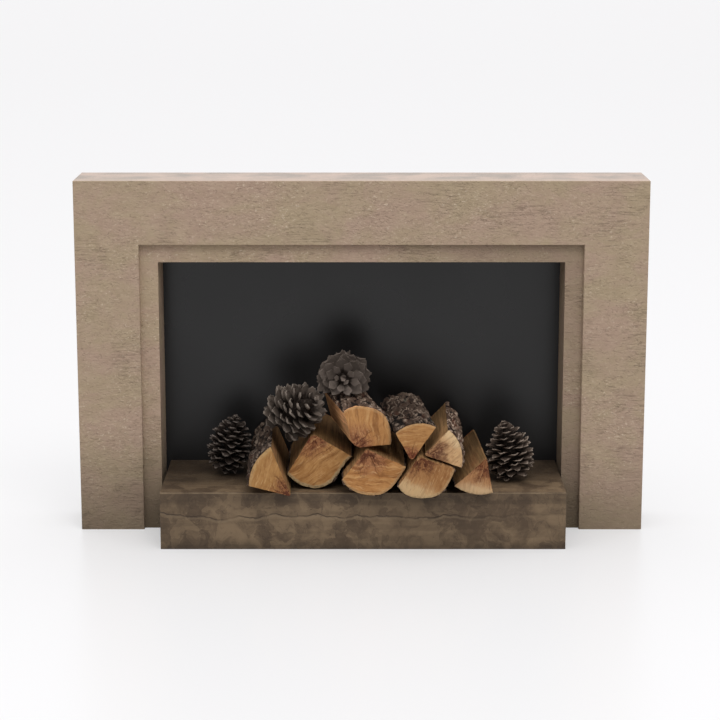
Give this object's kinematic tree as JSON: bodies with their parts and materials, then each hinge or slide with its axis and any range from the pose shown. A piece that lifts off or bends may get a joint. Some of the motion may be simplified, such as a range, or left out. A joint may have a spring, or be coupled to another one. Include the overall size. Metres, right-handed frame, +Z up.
{
  "type": "dolls house fireplace mantel",
  "caption": "Plain stone fireplace surround with an inset slip, dark back panel and raised marble hearth, stacked with split logs and pine cones, at dolls' house scale.",
  "frame": {"origin": "on the floor, midway between the outer faces of the two jambs, and midway between the wall plane and the front end of the log that stands out furthest", "axes": "+X to the viewer's right along the mantel, +Y into the wall, +Z up; the front faces -Y"},
  "size_m": [0.117, 0.0338, 0.0732],
  "materials": {
    "surround_stone": "matte, pitted cast stone",
    "slip_stone": "matte, pitted cast stone",
    "panel_paint": "matte charcoal paint on board",
    "hearth_marble": "honed dark brown marble",
    "dowel_wood": "raw",
    "log_wood": "raw split wood",
    "log_bark": "rough bark",
    "cone_scale": "dry woody scales"
  },
  "bodies": {
    "mantel": {"jamb_left": "surround_stone", "jamb_right": "surround_stone", "lintel": "surround_stone", "joint_dowels": "dowel_wood", "slip_left": "slip_stone", "slip_right": "slip_stone", "slip_top": "slip_stone", "back_panel": "panel_paint", "hearth_slab": "hearth_marble"},
    "log_far_left": {"log_far_left_wood": "log_wood", "log_far_left_bark": "log_bark"},
    "log_left": {"log_left_wood": "log_wood", "log_left_bark": "log_bark"},
    "log_centre": {"log_centre_wood": "log_wood", "log_centre_bark": "log_bark"},
    "log_right": {"log_right_wood": "log_wood", "log_right_bark": "log_bark"},
    "log_far_right": {"log_far_right_wood": "log_wood", "log_far_right_bark": "log_bark"},
    "log_top_left": {"log_top_left_wood": "log_wood", "log_top_left_bark": "log_bark"},
    "log_top_middle": {"log_top_middle_wood": "log_wood", "log_top_middle_bark": "log_bark"},
    "log_top_right": {"log_top_right_wood": "log_wood", "log_top_right_bark": "log_bark"},
    "cone_left": {"cone_left": "cone_scale"},
    "cone_right": {"cone_right": "cone_scale"},
    "cone_upper": {"cone_upper": "cone_scale"},
    "cone_top": {"cone_top": "cone_scale"}
  },
  "joints": [
    {"name": "log_far_left_pull", "type": "slide", "parent": "mantel", "child": "log_far_left", "axis": [0, -1, 0], "range_m": [0, 0.027]},
    {"name": "log_left_pull", "type": "slide", "parent": "mantel", "child": "log_left", "axis": [0, -1, 0], "range_m": [0, 0.027]},
    {"name": "log_centre_pull", "type": "slide", "parent": "mantel", "child": "log_centre", "axis": [0, -1, 0], "range_m": [0, 0.027]},
    {"name": "log_right_pull", "type": "slide", "parent": "mantel", "child": "log_right", "axis": [0, -1, 0], "range_m": [0, 0.027]},
    {"name": "log_far_right_pull", "type": "slide", "parent": "mantel", "child": "log_far_right", "axis": [0, -1, 0], "range_m": [0, 0.027]},
    {"name": "log_top_left_lift", "type": "slide", "parent": "mantel", "child": "log_top_left", "axis": [0, 0, 1], "range_m": [0, 0.02]},
    {"name": "log_top_middle_lift", "type": "slide", "parent": "mantel", "child": "log_top_middle", "axis": [0, 0, 1], "range_m": [0, 0.02]},
    {"name": "log_top_right_pull", "type": "slide", "parent": "mantel", "child": "log_top_right", "axis": [0, -1, 0], "range_m": [0, 0.027]},
    {"name": "cone_left_lift", "type": "slide", "parent": "mantel", "child": "cone_left", "axis": [0, 0, 1], "range_m": [0, 0.02]},
    {"name": "cone_right_lift", "type": "slide", "parent": "mantel", "child": "cone_right", "axis": [0, 0, 1], "range_m": [0, 0.02]},
    {"name": "cone_upper_lift", "type": "slide", "parent": "mantel", "child": "cone_upper", "axis": [0, 0, 1], "range_m": [0, 0.02]},
    {"name": "cone_top_pull", "type": "slide", "parent": "log_top_left", "child": "cone_top", "axis": [0.2419, -0.9703, 0], "range_m": [0, 0.024]}
  ]
}
